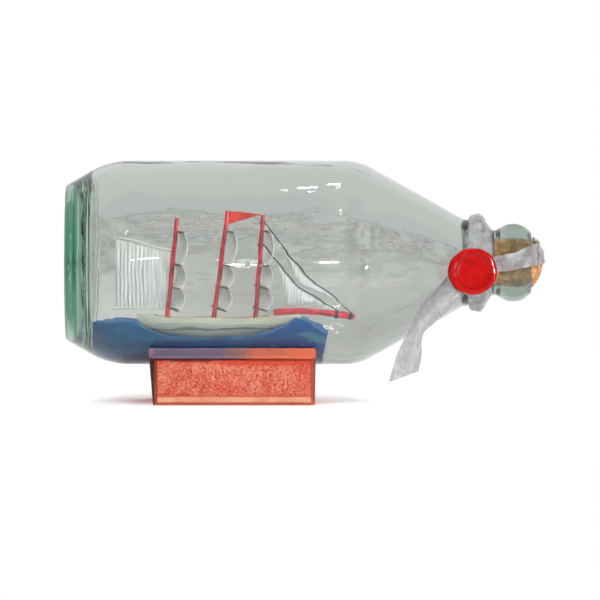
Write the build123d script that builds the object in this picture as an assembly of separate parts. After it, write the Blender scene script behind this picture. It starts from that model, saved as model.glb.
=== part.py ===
from build123d import *
import math
import os

# A square-rigged ship in a corked bottle that lies on a moulded cradle.
# Millimetres. +X runs along the bottle's axis towards its mouth and +Z is up.
# The origin is at the middle of the bounding box's underside.

# Bottle: everything along the axis is measured from the base
bottle_length = 174.4
body_radius = 38.25
wall = 3.0
base_thickness = 9.0
heel_length = 16.05
base_edge_radius = 1.5
punt_radius = 22.0
punt_depth = 1.6
heel_slope = 30.2
heel_radius = 26.0
inner_heel_radius = 4.0
shoulder_slope = 29.3
shoulder_radius = 20.0
collar_radius = 16.1
collar_length = 7.6
collar_corner = 1.6
groove_radius = 11.6
groove_run = 3.4
lip_radius = 14.6
lip_slope_run = 5.2
lip_length = 5.4
lip_corner = 2.2
mouth_run = 3.6
mouth_radius = 11.4
bore_radius = 9.3
bore_corner = 4.0

# Cork and ribbon
cork_clearance = 0.05
cork_depth = 14.6
cork_proud = 4.6
cork_rim = 0.5
cork_chamfer = 0.8
ribbon_width = 10.0
ribbon_thickness = 0.35
ribbon_gap = 0.3
band_forward = 0.6
strap_over_lip = 0.35
strap_bend = 3.0
sharp = 0.01
rear_leg_overlap = 6.0
front_leg_overlap = 0.6

# Seal: a wax disc on the front of the neck, leaning with the shoulder
seal_radius = 9.0
seal_thickness = 3.4
seal_edge = 1.1
seal_back_edge = 0.37
seal_dish_radius = 6.5
seal_dish_depth = 0.45
seal_tilt = 10.4
seal_stand_off = 3.3
seal_drop = 2.25
seal_forward = -1.7

# Ribbon tail: from under the seal to the slanted cut end, in the plane behind the seal
tail_tuck = (-5.5, -2.2)
tail_bend = (-20.9, -21.3)
tail_end = (-26.4, -39.9)
tail_neck_width = 5.6
tail_cut_rise = 4.6
tail_gap = 0.1

# Cradle
cradle_clearance = 0.3
cradle_length = 62.7
cradle_depth = 47.0
cradle_aft = 27.4
cradle_rim = 21.3
cradle_floor = 13.9
cradle_wall = 1.6
cradle_corner = 2.0
cradle_inner_corner = 0.5
aft_slant = 1.8
fore_slant = 0.4
panel_recess = 0.4
panel_border = 1.6
panel_foot = 3.6
panel_height = 13.2

# Sea: a putty bed with a dish that the hull lies in. Its surface is given by the hull's
# stations and by heights from the deck.
sea_clearance = 0.05
sea_level = 0.1
sea_surface = (
    (-1.2, 0.1),
    (-1.0, -0.1),
    (-0.88, -2.4),
    (-0.66, -5.0),
    (-0.35, -5.9),
    (0.3, -5.8),
    (0.6, -3.9),
    (0.8, -1.65),
    (0.95, 1.3),
    (1.07, 0.9),
    (1.2, -2.0),
    (1.33, -4.7),
)
sea_bank_run = 2.6

# Hull: the deck's height is from the lowest glass inside, and the other heights are from the deck.
# Stations run from -1 at the transom to 1 at the stem.
hull_length = 61.2
hull_beam = 12.0
keel_drop = 6.3
bow_rise = 7.5
stern_rise = 5.3
rail_height = 1.2
sheer_rise = 1.3
stem_share = 0.95
transom_share = 0.45
bulwark = 0.7
deck_rise = 13.45
deck_thickness = 1.0
deck_clearance = 0.03
poop_length = 6.2
forecastle_length = 11.8
stem_x = -2.0
stations = (-1.0, -0.85, -0.6, -0.25, 0.25, 0.6, 0.85, 1.0)

# Rig: each mast's foot behind the stem, its head above the deck, its top yard below the head, and its lean
mast_radius = 0.95
mast_head_radius = 0.8
mast_lift = 0.15
masts = {
    "mizzen": {"foot": 49.9, "height": 38.4, "yard": 5.2, "lean": 5.5},
    "main": {"foot": 32.3, "height": 41.4, "yard": 8.2, "lean": 7.2},
    "fore": {"foot": 16.9, "height": 39.6, "yard": 6.4, "lean": 4.4},
}
staple_radius = 0.2
staple_half_width = 1.35
staple_height = 0.95
staple_depth = 0.8
staple_corner = 0.45
staple_clearance = 0.05

# Yards and square sails, from the lowest yard up: the top yard's height is its mast's
yard_radius = 0.45
yard_gap = 0.05
brace = 12.0
yard_names = ("course_foot", "course", "topsail", "topgallant")
yard_heights = (4.4, 12.6, 20.9)
yard_lengths = (25.0, 22.5, 19.0, 15.0)
sail_names = ("course", "topsail", "topgallant")
sail_bellies = (2.2, 2.1, 1.9)
sail_thickness = 0.25
sail_gap = 0.05
sail_inset = 0.45
sail_margin = 1.2

# Spanker: its reach and heights are from the mizzen mast and the deck
spar_radius = 0.42
spar_throat_gap = 0.13
spanker_clear = 0.52
spanker_reach = 19.6
gaff_throat = 26.4
gaff_peak = 31.2
boom_tack = 4.4
boom_end = 4.9
spanker_leech = 1.0

# Bowsprit: a drooping spar bedded on the forecastle
bowsprit_radius = 1.0
bowsprit_heel = 10.0
bowsprit_reach = 20.6
bowsprit_rise = 0.175
bowsprit_droop = 1.9
bowsprit_bed = 0.4
bowsprit_clearance = 0.03

# Stays and jibs: route points are from the stem at the deck
stay_radius = 0.25
stay_share = 0.45
lashing_wall = 0.35
lashing_length = 1.3
lashing_gap = 0.02
stay_end_gap = 0.12
outer_stay_drop = 3.2
inner_stay_drop = 11.2
outer_stay_end = 18.9
inner_stay_end = 13.6
outer_stay_route = ((-7.6, 29.3), (-2.6, 22.4), (2.8, 16.5), (9.4, 12.0), (15.4, 6.4))
inner_stay_route = ((-8.4, 22.3), (-3.2, 15.2), (2.6, 10.4), (9.2, 6.8))
jib_gap = 0.12
outer_jib_clew = (-1.2, 14.4)
inner_jib_clew = (-5.0, 6.0)

# Pennant at the main mast's head
pennant_drop = 4.3
pennant_tip_width = 0.6
pennant_top_gap = 0.3
pennant_gap = 0.05

# Places worked out from the sizes above
overall_length = bottle_length + cork_proud + ribbon_gap + ribbon_thickness
base_x = -overall_length / 2
mouth_x = base_x + bottle_length
axis_z = cradle_floor + body_radius
lip_end_x = mouth_x - mouth_run
lip_x = lip_end_x - lip_length
groove_x = lip_x - lip_slope_run
collar_end_x = groove_x - groove_run
collar_x = collar_end_x - collar_length
cone_tan = math.tan(math.radians(shoulder_slope))
heel_tan = math.tan(math.radians(heel_slope))
shoulder_x = collar_x - (body_radius - collar_radius) / cone_tan
heel_x = base_x + heel_length
base_radius = body_radius - heel_length * heel_tan
floor_x = base_x + base_thickness
deck_z = axis_z - body_radius + wall + deck_rise
band_inner = collar_radius + ribbon_gap / 2
band_outer = band_inner + ribbon_thickness
band_x = collar_x + band_forward
hull_half = hull_length / 2
hull_mid_x = stem_x - hull_half
seal_x = (collar_x + collar_end_x) / 2 + seal_forward
seal_y = -(collar_radius + seal_stand_off)
seal_z = axis_z - seal_drop


def on_side(points):
    """A face in the XZ plane."""
    return Plane.XZ * make_face(Polyline(*points, close=True))


def half_outline(points, radii):
    """The face between the bottle's axis and (distance, radius) corners that start and end on it."""
    line = FilletPolyline(*points, radius=radii)
    return Plane.XZ * make_face(line + Line(line @ 1, line @ 0))


def turned(profile):
    """A solid turned about the bottle's axis."""
    return Pos(0, 0, axis_z) * revolve(profile, Axis.X)


def rod(start, end, radius, end_radius=None):
    """A round bar from one point to another."""
    way = Vector(*end) - Vector(*start)
    plane = Plane(origin=start, z_dir=way)
    grow = Align.CENTER, Align.CENTER, Align.MIN
    if end_radius is None:
        return plane * Cylinder(radius, way.length, align=grow)
    return plane * Cone(radius, end_radius, way.length, align=grow)


def box(low, high):
    """A box between two corners."""
    size = [b - a for a, b in zip(low, high)]
    middle = [(a + b) / 2 for a, b in zip(low, high)]
    return Pos(*middle) * Box(*size)


def bottle_outside():
    """Half the outline of the glass, with a shallow hollow in its base."""
    points = [
        (base_x, 0),
        (base_x, base_radius),
        (heel_x, body_radius),
        (shoulder_x, body_radius),
        (collar_x, collar_radius),
        (collar_end_x, collar_radius),
        (groove_x, groove_radius),
        (lip_x, lip_radius),
        (lip_end_x, lip_radius),
        (mouth_x, mouth_radius),
        (mouth_x, 0),
    ]
    soft = collar_corner
    radii = [base_edge_radius, heel_radius, shoulder_radius, soft, soft, soft, soft, lip_corner, soft]
    ball = (punt_radius**2 + punt_depth**2) / (2 * punt_depth)
    punt = Plane.XZ * Pos(base_x + punt_depth - ball, 0) * Circle(ball)
    return half_outline(points, radii) - punt


def bottle_inside(clearance=0.0):
    """Half the outline of the space in the bottle, smaller by a clearance all over."""
    inset = wall + clearance
    radius = body_radius - inset
    heel_shift = inset * math.tan(math.radians(heel_slope / 2))
    shoulder_shift = inset * math.tan(math.radians(shoulder_slope / 2))
    start = floor_x + clearance
    heel = heel_x + heel_shift
    shoulder = shoulder_x - shoulder_shift
    bore = bore_radius - clearance
    points = [
        (start, 0),
        (start, radius - (heel - start) * heel_tan),
        (heel, radius),
        (shoulder, radius),
        (shoulder + (radius - bore) / cone_tan, bore),
        (mouth_x + wall, bore),
        (mouth_x + wall, 0),
    ]
    radii = [inner_heel_radius, heel_radius - inset, shoulder_radius - inset, bore_corner, sharp]
    return half_outline(points, radii)


def make_bottle():
    """The glass bottle."""
    return turned(bottle_outside() - bottle_inside())


def make_cork():
    """A straight cork with a domed head."""
    radius = bore_radius - cork_clearance
    inner_end = mouth_x - cork_depth
    rim = mouth_x + cork_rim
    top = mouth_x + cork_proud
    rise = top - rim
    ball = (radius**2 + rise**2) / (2 * rise)
    line = Polyline(
        (inner_end, 0),
        (inner_end, radius - cork_chamfer),
        (inner_end + cork_chamfer, radius),
        (rim, radius),
    )
    lean = math.asin(radius / ball) / 2
    middle = (top - ball * (1 - math.cos(lean)), ball * math.sin(lean))
    dome = ThreePointArc((rim, radius), middle, (top, 0))
    return turned(Plane.XZ * make_face(line + dome + Line((top, 0), (inner_end, 0))))



def make_band():
    """The ribbon that is wound round the collar."""
    ring = Cylinder(band_outer, ribbon_width) - Cylinder(band_inner, ribbon_width)
    return Pos(band_x + ribbon_width / 2, 0, axis_z) * Rot(0, 90, 0) * ring


def strap_skin(grow):
    """Half of the taut outline that the strap is laid on, further out by a distance."""
    over_band = band_outer + ribbon_gap + grow
    over_lip = lip_radius + strap_over_lip + grow
    front = mouth_x + cork_proud + ribbon_gap + grow
    shoulder_point = (mouth_x + cork_rim + grow, mouth_radius + ribbon_gap + grow)
    points = [
        (collar_x, 0),
        (collar_x, over_band),
        (band_x + ribbon_width + ribbon_gap, over_band),
        (lip_end_x, over_lip),
        shoulder_point,
        (front, bore_radius / 2),
        (front, 0),
    ]
    soft = strap_bend + grow
    return half_outline(points, [sharp, strap_bend, soft, soft, soft])


def make_strap():
    """The ribbon over the cork's head: a short leg in front, a long one behind."""
    skin = turned(strap_skin(ribbon_thickness) - strap_skin(0))
    half = ribbon_width / 2
    far = overall_length
    seal_edge_x = seal_x + seal_radius * math.cos(math.radians(seal_tilt))
    front = box((seal_edge_x - front_leg_overlap, -far, axis_z - half), (far, 0, axis_z + half))
    rear = box((collar_end_x - rear_leg_overlap, 0, axis_z - half), (far, far, axis_z + half))
    return skin & (front + rear)


def seal_plane(out=0.0):
    """The plane of the seal's back, further out by a distance."""
    tilt = math.radians(seal_tilt)
    normal = Vector(math.sin(tilt), -math.cos(tilt), 0)
    along = (math.cos(tilt), math.sin(tilt), 0)
    return Plane(origin=Vector(seal_x, seal_y, seal_z) + normal * out, x_dir=along, z_dir=normal)


def make_seal():
    """The wax seal, with a dished face."""
    disc = Cylinder(seal_radius, seal_thickness, align=(Align.CENTER, Align.CENTER, Align.MIN))
    disc = fillet(disc.edges().group_by(Axis.Z)[-1], seal_edge)
    disc = chamfer(disc.edges().group_by(Axis.Z)[0], seal_back_edge)
    dish = Pos(0, 0, seal_thickness - seal_dish_depth) * Cylinder(
        seal_dish_radius, seal_dish_depth, align=(Align.CENTER, Align.CENTER, Align.MIN)
    )
    return seal_plane() * (disc - dish)


def make_tail():
    """The ribbon's free end, flat, in the plane just behind the seal."""
    half = ribbon_width / 2
    neck = tail_neck_width / 2
    tuck_x, tuck_z = tail_tuck
    bend_x, bend_z = tail_bend
    end_x, end_z = tail_end
    outline = Polyline(
        (tuck_x - neck, tuck_z + neck),
        (bend_x - neck, bend_z + neck),
        (end_x - half, end_z + half),
        (end_x - half, end_z - tail_cut_rise / 2),
        (end_x + half, end_z + tail_cut_rise / 2),
        (bend_x + neck, bend_z - neck),
        (tuck_x + neck, tuck_z - neck),
        close=True,
    )
    back = seal_plane(-ribbon_thickness - tail_gap)
    return extrude(back * make_face(outline), ribbon_thickness, dir=back.z_dir)


def cradle_block(inset, foot):
    """The cradle's outline as a solid block, smaller by an inset, from a foot height."""
    aft = -(cradle_aft + cradle_length / 2) + inset
    fore = aft + cradle_length - 2 * inset
    profile = on_side(
        [(aft + aft_slant, foot), (aft, cradle_rim), (fore, cradle_rim), (fore - fore_slant, foot)]
    )
    block = extrude(profile, cradle_depth / 2 - inset, both=True)
    upright = block.edges().filter_by(lambda edge: abs((edge @ 0).Z - (edge @ 1).Z) > cradle_rim / 2)
    return fillet(upright, max(cradle_corner - inset, cradle_inner_corner))


def make_cradle():
    """The hollow cradle: walls, a round trough and a framed panel front and back."""
    seat = body_radius + cradle_clearance
    trough = Pos(0, 0, axis_z) * Rot(0, 90, 0) * Cylinder(seat, overall_length)
    under = Pos(0, 0, axis_z) * Rot(0, 90, 0) * Cylinder(seat + cradle_wall, overall_length)
    cradle = cradle_block(0, 0) - trough - (cradle_block(cradle_wall, -cradle_wall) - under)
    low = -(cradle_aft + cradle_length / 2) + aft_slant + panel_border
    high = -cradle_aft + cradle_length / 2 - fore_slant - panel_border
    deep = cradle_depth / 2 - panel_recess
    for side in (-1, 1):
        near, far = sorted((side * deep, side * cradle_depth))
        cradle -= box((low, near, panel_foot), (high, far, panel_foot + panel_height))
    return cradle


def half_beam(u):
    """Half the hull's beam at a station."""
    share = stem_share if u > 0 else transom_share
    return hull_beam / 2 * (1 - share * u**4)


def keel(u):
    """The keel's height at a station."""
    return deck_z - keel_drop + (bow_rise if u > 0 else stern_rise) * abs(u) ** 3


def rail(u):
    """The rail's height at a station."""
    return deck_z + rail_height + sheer_rise * u**2


def hull_form(grow=0.0, top=0.0):
    """The hull's outside, larger by a distance and carried straight up above the rail."""
    sections = []
    for u in stations:
        half = half_beam(u) + grow
        low = keel(u) - grow
        high = rail(u)
        port = Bezier((half, high), (half, low), (0, low))
        starboard = Bezier((0, low), (-half, low), (-half, high))
        if top:
            sides = Polyline((-half, high), (-half, high + top), (half, high + top), (half, high))
        else:
            sides = Line((-half, high), (half, high))
        place = Plane(origin=(hull_mid_x + u * (hull_half + grow), 0, 0), x_dir=(0, 1, 0), z_dir=(1, 0, 0))
        sections.append(place * make_face(sides + port + starboard))
    return loft(sections)


def well(inset, floor, top):
    """The space between the bulwarks, from the poop to the forecastle."""
    low = (stem_x - hull_length + poop_length + inset, -hull_beam, floor)
    high = (stem_x - forecastle_length - inset, hull_beam, top)
    return hull_form(-bulwark - inset, top=bulwark + sheer_rise) & box(low, high)


def mast_frame(mast):
    """The mast's foot and the way it points."""
    lean = math.radians(mast["lean"])
    foot = Vector(stem_x - mast["foot"], 0, deck_z + mast_lift)
    return foot, Vector(math.sin(lean), 0, math.cos(lean))


def mast_point(mast, height):
    """The point of a mast's axis at a height above the deck."""
    foot, way = mast_frame(mast)
    return foot + way * ((height - mast_lift) / way.Z)


def mast_radius_at(mast, height):
    """The mast's radius at a height above the deck."""
    return mast_radius + (mast_head_radius - mast_radius) * height / mast["height"]


def yard_height(mast, level):
    """A yard's height above the deck."""
    return (*yard_heights, mast["height"] - mast["yard"])[level]


def staple(mast, radius):
    """The wire staple that hinges a mast's foot, as a bent wire of a radius."""
    x = mast_point(mast, staple_height).X
    half = staple_half_width
    low = deck_z - staple_depth
    high = deck_z + staple_height
    corners = [(x, -half, low), (x, -half, high), (x, half, high), (x, half, low)]
    return spar_along(FilletPolyline(*corners, radius=staple_corner), radius)


def make_mast(mast):
    """A tapered mast, drilled for its staple."""
    foot, way = mast_frame(mast)
    pole = rod(foot, foot + way * mast["height"], mast_radius, mast_head_radius)
    return pole - staple(mast, staple_radius + staple_clearance)


def make_deck():
    """The deck, let in between the bulwarks and drilled for the staples."""
    deck = well(deck_clearance, deck_z - deck_thickness, deck_z)
    for mast in masts.values():
        deck -= staple(mast, staple_radius + staple_clearance)
    return deck


def bowsprit_path():
    """The drooping line of the bowsprit."""
    height = rail(1) + bowsprit_radius - bowsprit_bed
    heel = (stem_x - bowsprit_heel, 0, height)
    middle = (stem_x + (bowsprit_reach - bowsprit_heel) / 2, 0, height + bowsprit_rise)
    tip = (stem_x + bowsprit_reach, 0, height - bowsprit_droop)
    return ThreePointArc(heel, middle, tip)


def spar_along(path, radius):
    """A round bar along a path."""
    return sweep(Plane(origin=path @ 0, z_dir=path % 0) * Circle(radius), path=path)


def bowsprit_at(reach):
    """The bowsprit's middle and direction at a distance ahead of the stem."""
    path = bowsprit_path()
    low, high = 0.0, 1.0
    for _ in range(30):
        middle = (low + high) / 2
        if (path @ middle).X < stem_x + reach:
            low = middle
        else:
            high = middle
    return path @ low, path % low


def make_hull():
    """The hull with its well and the bowsprit's bed."""
    hull = hull_form() - well(0, deck_z - deck_thickness, deck_z + hull_beam)
    return hull - spar_along(bowsprit_path(), bowsprit_radius + bowsprit_clearance)


def make_sea():
    """The putty bed under the ship, shaped to the glass."""
    surface = [(hull_mid_x + u * hull_half, deck_z + height) for u, height in sea_surface]
    top = Spline((base_x, deck_z + sea_level), *surface)
    foot = axis_z - body_radius
    bank = (surface[-1][0] - sea_bank_run, foot)
    under = Polyline(top @ 1, bank, (base_x, foot), top @ 0)
    block = extrude(Plane.XZ * make_face(top + under), body_radius, both=True)
    bed = block & turned(bottle_inside(sea_clearance))
    return bed - hull_form(sea_clearance, top=hull_beam)


def make_yard(mast, level):
    """One yard, across the front of its mast and braced round."""
    height = yard_height(mast, level)
    ahead = mast_radius_at(mast, height) + yard_gap + yard_radius
    yard = Pos(ahead, 0, 0) * Rot(90, 0, 0) * Cylinder(yard_radius, yard_lengths[level])
    return Location(mast_point(mast, height)) * Rot(0, 0, brace) * yard


def make_sail(mast, level):
    """One square sail, hung on the front of two yards and bellied forward."""
    low_height = yard_height(mast, level)
    low = mast_point(mast, low_height)
    high = mast_point(mast, yard_height(mast, level + 1))
    ahead = mast_radius_at(mast, low_height) + yard_gap + 2 * yard_radius + sail_gap
    rise = high.Z - low.Z
    shift = (high.X - low.X) * math.cos(math.radians(brace))
    foot = Vector(ahead, sail_inset)
    head = Vector(ahead + shift, rise - sail_inset)
    chord = head - foot
    out = Vector(chord.Y, -chord.X).normalized()
    belly = sail_bellies[level]
    radius = (chord.length**2 / 4 + belly**2) / (2 * belly)
    middle = (foot + head) / 2 + out * belly
    centre = middle - out * radius
    grow = 1 + sail_thickness / radius
    back = ThreePointArc(foot, middle, head)
    front = ThreePointArc(*[centre + (point - centre) * grow for point in (foot, middle, head)])
    rim = back + Line(back @ 1, front @ 1) + front + Line(front @ 0, back @ 0)
    wide = yard_lengths[level] / 2 - sail_margin
    narrow = yard_lengths[level + 1] / 2 - sail_margin
    cloth = extrude(Plane.XZ * make_face(rim), wide + sail_margin, both=True)
    outline = Polyline((-wide, 0), (wide, 0), (narrow, rise), (-narrow, rise), close=True)
    cloth &= extrude(Plane.YZ * make_face(outline), ahead + shift + 2 * belly)
    return Location(low) * Rot(0, 0, brace) * cloth


def aft_of(mast, height, clear):
    """A point behind a mast at a height above the deck."""
    point = mast_point(mast, height)
    return (point.X - mast_radius_at(mast, height) - clear, 0, point.Z)


def spanker_spar(throat, end):
    """The gaff or the boom, from the mizzen mast to its outer end."""
    mizzen = masts["mizzen"]
    start = aft_of(mizzen, throat, spar_throat_gap)
    tip = (start[0] - spanker_reach, 0, deck_z + end)
    return rod(start, tip, spar_radius)


def make_spanker():
    """The fore-and-aft sail behind the mizzen mast."""
    mizzen = masts["mizzen"]
    luff = mast_radius / 2
    throat = aft_of(mizzen, gaff_throat - spanker_clear, luff)
    tack = aft_of(mizzen, boom_tack + spanker_clear, luff)
    slope = (gaff_peak - gaff_throat) / spanker_reach
    run = spanker_reach - spanker_leech
    peak = (throat[0] - run, throat[2] + run * slope)
    clew_rise = (boom_end - boom_tack) / spanker_reach * run
    clew = (tack[0] - run, tack[2] + clew_rise)
    corners = [(tack[0], tack[2]), (throat[0], throat[2]), peak, clew]
    return extrude(on_side(corners), sail_thickness / 2, both=True)


def stay_points(route, mast_height, end_reach):
    """A stay's route from the fore mast to the bowsprit."""
    fore = masts["fore"]
    top = mast_point(fore, mast_height)
    start = (top.X + mast_radius_at(fore, mast_height) + lashing_wall + stay_end_gap, 0, top.Z)
    spar, _ = bowsprit_at(end_reach)
    end = (spar.X, 0, spar.Z + bowsprit_radius + lashing_wall + stay_end_gap)
    middle = [(stem_x + x, 0, deck_z + z) for x, z in route]
    return [start] + middle + [end]


def stay_path(points):
    """Straight runs joined by arcs as large as the runs allow."""
    radii = []
    for a, b, c in zip(points, points[1:], points[2:]):
        before = Vector(*b) - Vector(*a)
        after = Vector(*c) - Vector(*b)
        turn = math.radians(before.get_angle(after))
        radii.append(stay_share * min(before.length, after.length) / math.tan(turn / 2))
    print("stay bend radii", [round(r, 1) for r in radii])
    return FilletPolyline(*points, radius=radii)


def make_stay(path, radius):
    """A black thread along its path."""
    thread = spar_along(path, radius)
    print("stay volume", round(thread.volume, 3), "section x length",
          round(math.pi * radius**2 * path.length, 3), "length", round(path.length, 1))
    return thread


def lashing(centre, way, inner):
    """A few turns of thread round a spar."""
    plane = Plane(origin=centre, z_dir=way)
    turns = Cylinder(inner + lashing_wall, lashing_length)
    return plane * (turns - Cylinder(inner + lashing_gap, lashing_length))


def make_jib(points, path, clew):
    """A jib hanked along a stay, kept clear of the thread."""
    corners = [(p[0], p[2]) for p in points[1:-1]]
    corners.append((stem_x + clew[0], deck_z + clew[1]))
    cloth = extrude(on_side(corners), sail_thickness / 2, both=True)
    return cloth - spar_along(path, stay_radius + jib_gap)


def make_pennant():
    """The pennant that streams forward from the main mast's head."""
    main, fore = masts["main"], masts["fore"]
    top = main["height"] - pennant_top_gap
    low = top - pennant_drop
    rise = main["height"] - fore["height"]
    upper, lower = mast_point(main, top), mast_point(main, low)
    tip = mast_point(fore, fore["height"] - pennant_top_gap)
    ahead = mast_radius_at(main, low) + pennant_gap
    tip_x = tip.X - mast_head_radius - pennant_gap
    corners = [
        (upper.X + ahead, upper.Z),
        (tip_x, tip.Z),
        (tip_x, tip.Z - pennant_tip_width),
        (lower.X + ahead, lower.Z),
    ]
    return extrude(on_side(corners), sail_thickness / 2, both=True)


def build():
    """Every piece by its node's name."""
    pieces = {
        "cradle": make_cradle(),
        "bottle": make_bottle(),
        "cork": make_cork(),
        "ribbon_band": make_band(),
        "ribbon_strap": make_strap(),
        "ribbon_tail": make_tail(),
        "wax_seal": make_seal(),
        "sea": make_sea(),
        "hull": make_hull(),
        "deck": make_deck(),
        "bowsprit": spar_along(bowsprit_path(), bowsprit_radius),
        "spanker": make_spanker(),
        "spanker_gaff": spanker_spar(gaff_throat, gaff_peak),
        "spanker_boom": spanker_spar(boom_tack, boom_end),
        "pennant": make_pennant(),
    }
    for name, mast in masts.items():
        pieces[name + "_mast"] = make_mast(mast)
        pieces[name + "_staple"] = staple(mast, staple_radius)
        for level, yard in enumerate(yard_names):
            pieces[f"{name}_{yard}_yard"] = make_yard(mast, level)
        for level, sail in enumerate(sail_names):
            pieces[f"{name}_{sail}_sail"] = make_sail(mast, level)
    fore = masts["fore"]
    stays = {
        "outer": (outer_stay_route, outer_stay_drop, outer_stay_end, outer_jib_clew),
        "inner": (inner_stay_route, inner_stay_drop, inner_stay_end, inner_jib_clew),
    }
    for name, (route, drop, end_reach, clew) in stays.items():
        mast_height = fore["height"] - drop
        points = stay_points(route, mast_height, end_reach)
        path = stay_path(points)
        pieces[name + "_stay"] = make_stay(path, stay_radius)
        pieces[name + "_jib"] = make_jib(points, path, clew)
        _, mast_way = mast_frame(fore)
        top = mast_point(fore, mast_height)
        pieces[name + "_stay_head_lashing"] = lashing(top, mast_way, mast_radius_at(fore, mast_height))
        spar, spar_way = bowsprit_at(end_reach)
        pieces[name + "_stay_foot_lashing"] = lashing(spar, spar_way, bowsprit_radius)
        hole = spar_along(path, stay_radius + jib_gap)
        sail = "fore_topgallant_sail"
        pieces[sail] -= hole
    return pieces


os.makedirs("parts", exist_ok=True)
for node, piece in build().items():
    export_step(piece, f"parts/{node}.step")
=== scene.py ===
import math

import bmesh
import bpy
from mathutils import Matrix, Vector, noise


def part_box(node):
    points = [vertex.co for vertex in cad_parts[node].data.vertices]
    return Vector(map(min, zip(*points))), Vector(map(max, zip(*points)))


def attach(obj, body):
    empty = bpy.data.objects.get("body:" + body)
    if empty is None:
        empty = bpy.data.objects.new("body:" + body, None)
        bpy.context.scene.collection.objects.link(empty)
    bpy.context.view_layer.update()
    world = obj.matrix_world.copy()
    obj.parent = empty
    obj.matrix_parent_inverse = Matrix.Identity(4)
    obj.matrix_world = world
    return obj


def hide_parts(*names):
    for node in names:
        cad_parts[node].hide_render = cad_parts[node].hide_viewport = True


# A ship in a corked bottle that lies on a moulded cradle.
# Shapes are worked out in millimetres, and buildPiece makes them metres.

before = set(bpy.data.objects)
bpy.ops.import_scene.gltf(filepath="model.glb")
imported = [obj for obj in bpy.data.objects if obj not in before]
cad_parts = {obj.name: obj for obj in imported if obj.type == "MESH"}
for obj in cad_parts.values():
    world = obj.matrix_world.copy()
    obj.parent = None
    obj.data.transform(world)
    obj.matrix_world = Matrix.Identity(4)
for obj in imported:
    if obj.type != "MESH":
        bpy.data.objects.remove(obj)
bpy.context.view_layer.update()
mm = 0.001
weld = 0.002  # nearer points of one mesh become one
creaseAngle = 60  # degrees: sharper edges of a creased piece stay sharp
span = {node: [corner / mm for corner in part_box(node)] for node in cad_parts}
bottleLow, bottleHigh = span["bottle"]
hullLow, hullHigh = span["hull"]
deckTop = span["deck"][1].z
bodyRadius = (bottleHigh.z - bottleLow.z) / 2
axisZ = bottleLow.z + bodyRadius
baseX = bottleLow.x
mouthX = bottleHigh.x
stemX = hullHigh.x
print("frame loaded")


# Arithmetic on the outputs of nodes, so that a finish reads as a formula
class Value:
    def __init__(self, paint, socket):
        self.paint = paint
        self.socket = socket

    def sum(self, operation, first, second):
        return self.paint.make("ShaderNodeMath", {"operation": operation}, {0: first, 1: second})

    def __add__(self, other):
        return self.sum("ADD", self, other)

    def __radd__(self, other):
        return self.sum("ADD", other, self)

    def __sub__(self, other):
        return self.sum("SUBTRACT", self, other)

    def __rsub__(self, other):
        return self.sum("SUBTRACT", other, self)

    def __mul__(self, other):
        return self.sum("MULTIPLY", self, other)

    def __rmul__(self, other):
        return self.sum("MULTIPLY", other, self)


class Wiring:
    def __init__(self, tree):
        self.tree = tree

    # Any node: its settings first, and then its sockets' values or links
    def make(self, kind, settings=None, inputs=None, out=0):
        node = self.tree.nodes.new(kind)
        for name, value in (settings or {}).items():
            if name == "stops":
                stops = node.color_ramp.elements
                stops.remove(stops[1])
                stops[0].position = value[0][0]
                for position, shade in value[1:]:
                    stops.new(position)
                for stop, (position, shade) in zip(stops, value):
                    stop.color = (shade, shade, shade, 1)
            else:
                setattr(node, name, value)
        for name, value in (inputs or {}).items():
            self.feed(node.inputs[name], value)
        return Value(self, node.outputs[out])

    def feed(self, socket, value):
        if isinstance(value, Value):
            self.tree.links.new(value.socket, socket)
        else:
            socket.default_value = value

    def curve(self, value, *stops):
        return self.make("ShaderNodeValToRGB", {"stops": stops}, {0: value})

    def blend(self, share, first, second):
        return self.make("ShaderNodeMix", {"data_type": "RGBA"}, {0: share, 6: first, 7: second}, 2)

    def where(self):
        return self.make("ShaderNodeTexCoord", out="Object")

    def mixShaders(self, share, first, second):
        return self.make("ShaderNodeMixShader", {}, {0: share, 1: first, 2: second})

    # arithmetic on one value
    def sole(self, operation, value):
        return self.make("ShaderNodeMath", {"operation": operation}, {0: value})

    # 1 for rays of these kinds, and 0 for others
    def ray(self, *kinds):
        rays = [self.make("ShaderNodeLightPath", out=kind) for kind in kinds]
        either = rays[0]
        for other in rays[1:]:
            either = either + other
        return either


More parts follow.
